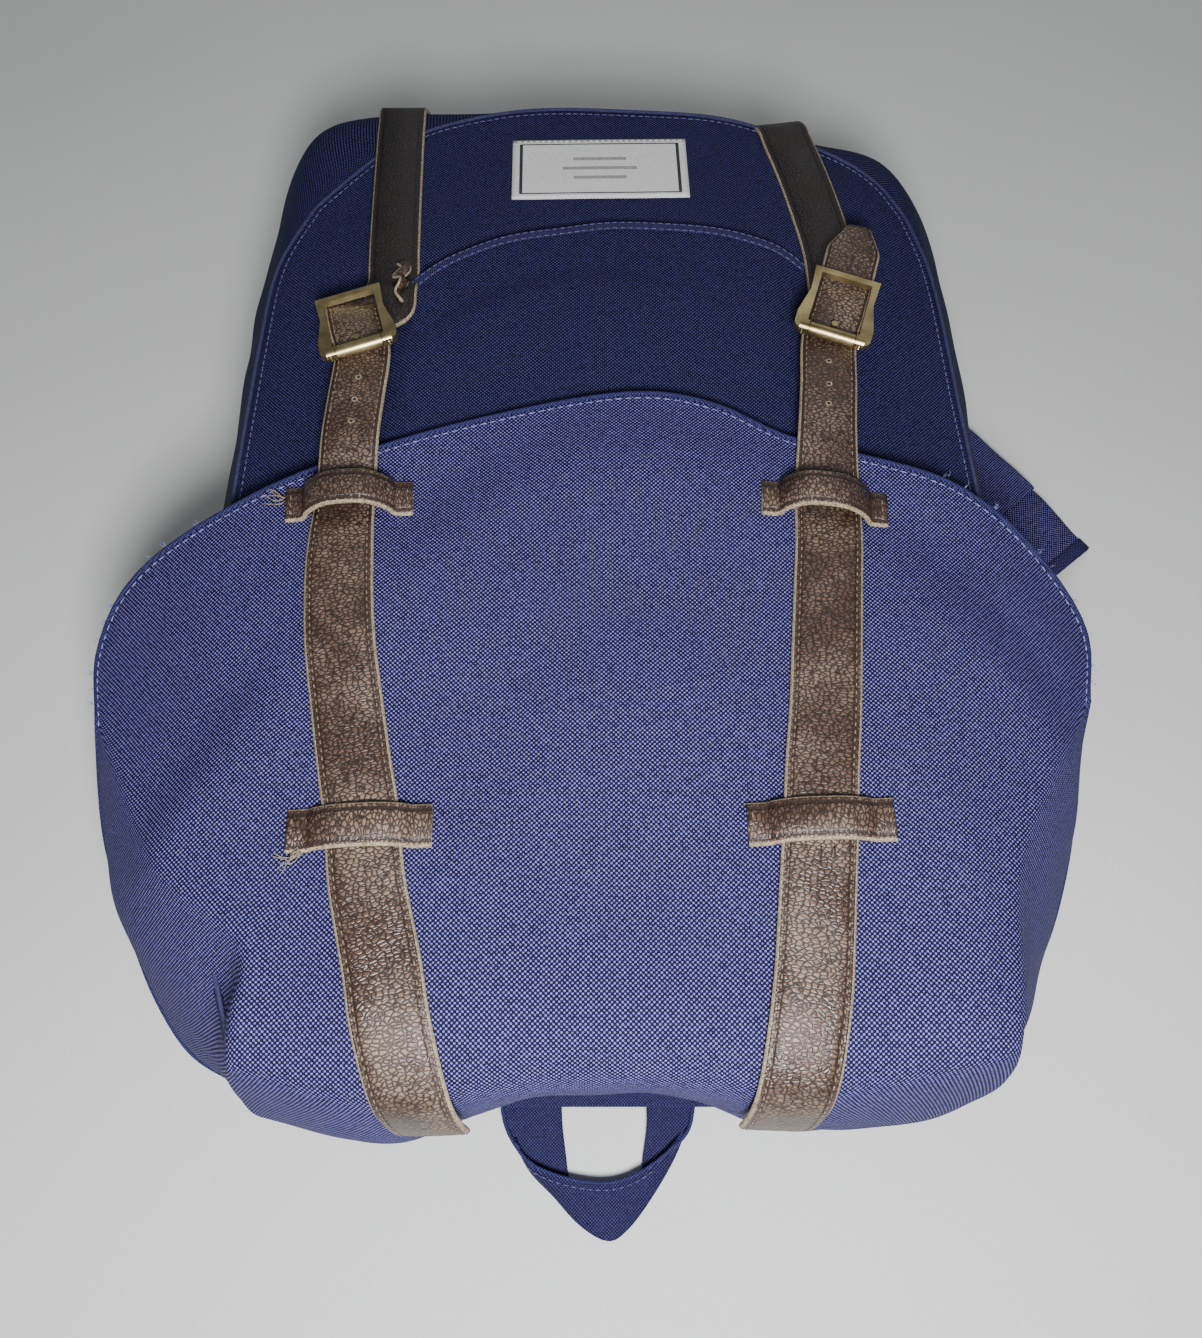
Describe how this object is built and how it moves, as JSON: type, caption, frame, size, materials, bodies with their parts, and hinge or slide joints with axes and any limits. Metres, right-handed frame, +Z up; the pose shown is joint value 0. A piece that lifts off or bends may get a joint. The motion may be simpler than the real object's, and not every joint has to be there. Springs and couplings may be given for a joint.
{
  "type": "travel backpack",
  "caption": "Flap-top travel backpack lying on its back, with an arched lid, leather straps with magnetic roller buckles, a zipped front pocket and a haul loop.",
  "frame": {"origin": "middle of the back pad's face, on the surface that the bag lies on", "axes": "+Y from the mouth to the bottom of the bag, +Z up out of the bag's front, +X to the right seen from above"},
  "size_m": [0.4467, 0.485, 0.1568],
  "materials": {
    "navy_fabric": "woven polyester",
    "navy_webbing": "narrow woven tape",
    "navy_padding": "padded woven polyester",
    "brown_leather": "pebbled, satin",
    "antique_brass": "antique, satin",
    "magnet_steel": "plated",
    "black_plastic": "moulded",
    "white_label": "woven label",
    "striped_lining": "plain lining"
  },
  "bodies": {
    "bag": {"back_panel": "navy_padding", "back_pad": "navy_padding", "side_panel_left": "navy_fabric", "side_panel_right": "navy_fabric", "bottom_panel": "navy_fabric", "front_panel": "navy_fabric", "front_seam_binding": "navy_webbing", "laptop_sleeve": "navy_padding", "mouth_hem": "navy_fabric", "mouth_eyelets": "antique_brass", "pocket_lining": "striped_lining", "pocket_placket": "navy_fabric", "pocket_zip_tape": "navy_webbing", "pocket_zip_teeth": "black_plastic", "label_patch": "white_label", "lower_strap_left": "brown_leather", "lower_strap_right": "brown_leather", "catch_magnet_left": "magnet_steel", "catch_magnet_right": "magnet_steel", "yoke_patch": "navy_fabric", "haul_loop_base": "navy_webbing", "shoulder_pad_left": "navy_padding", "shoulder_pad_right": "navy_padding", "strap_webbing_left": "navy_webbing", "strap_webbing_right": "navy_webbing", "ladder_lock_left": "black_plastic", "ladder_lock_right": "black_plastic", "strap_wing_left": "navy_fabric", "strap_wing_right": "navy_fabric"},
    "lid": {"lid_front_panel": "navy_fabric", "lid_end_panel": "navy_fabric", "lid_side_left": "navy_fabric", "lid_side_right": "navy_fabric", "lid_binding": "navy_webbing", "upper_strap_left": "brown_leather", "upper_strap_right": "brown_leather", "upper_keeper_left": "brown_leather", "upper_keeper_right": "brown_leather", "lower_keeper_left": "brown_leather", "lower_keeper_right": "brown_leather"},
    "strap_end_left": {"strap_tail_left": "brown_leather", "buckle_frame_left": "antique_brass", "clip_plate_left": "antique_brass", "clip_magnet_left": "magnet_steel"},
    "strap_end_right": {"strap_tail_right": "brown_leather", "buckle_frame_right": "antique_brass", "clip_plate_right": "antique_brass", "clip_magnet_right": "magnet_steel"},
    "roller_left": {"buckle_roller_left": "antique_brass"},
    "roller_right": {"buckle_roller_right": "antique_brass"},
    "zip_runner": {"zip_slider": "antique_brass", "zip_pull": "antique_brass"},
    "haul_loop": {"haul_loop": "navy_webbing"},
    "tail_left": {"webbing_tail_left": "navy_webbing"},
    "tail_right": {"webbing_tail_right": "navy_webbing"}
  },
  "joints": [
    {"name": "lid_hinge", "type": "hinge", "parent": "bag", "child": "lid", "pos_m": [0, -0.214, 0.017], "axis": [1, 0, 0], "range_deg": [0, 90]},
    {"name": "strap_end_left_lift", "type": "hinge", "parent": "lid", "child": "strap_end_left", "pos_m": [-0.098, 0.026, 0.1479], "axis": [1, 0, 0], "range_deg": [0, 70]},
    {"name": "strap_end_right_lift", "type": "hinge", "parent": "lid", "child": "strap_end_right", "pos_m": [0.087, 0.031, 0.1479], "axis": [1, 0, 0], "range_deg": [0, 70]},
    {"name": "roller_left_spin", "type": "hinge", "parent": "strap_end_left", "child": "roller_left", "pos_m": [-0.09752, 0.06814, 0.15139], "axis": [0.9573, 0.2697, 0.1037], "continuous": true},
    {"name": "roller_right_spin", "type": "hinge", "parent": "strap_end_right", "child": "roller_right", "pos_m": [0.09197, 0.07548, 0.15], "axis": [0.9527, -0.2913, -0.0872], "continuous": true},
    {"name": "pocket_zip", "type": "hinge", "parent": "bag", "child": "zip_runner", "pos_m": [0, 0.022, 0.136], "axis": [0, 0, 1], "range_deg": [0, 68]},
    {"name": "haul_loop_lift", "type": "hinge", "parent": "bag", "child": "haul_loop", "pos_m": [0, -0.2205, 0.005], "axis": [1, 0, 0], "range_deg": [-80, 0]},
    {"name": "tail_left_slide", "type": "slide", "parent": "bag", "child": "tail_left", "axis": [-0.3887, -0.9214, 0], "range_m": [0, 0.03]},
    {"name": "tail_right_slide", "type": "slide", "parent": "bag", "child": "tail_right", "axis": [0.6315, -0.7753, 0], "range_m": [0, 0.03]}
  ]
}
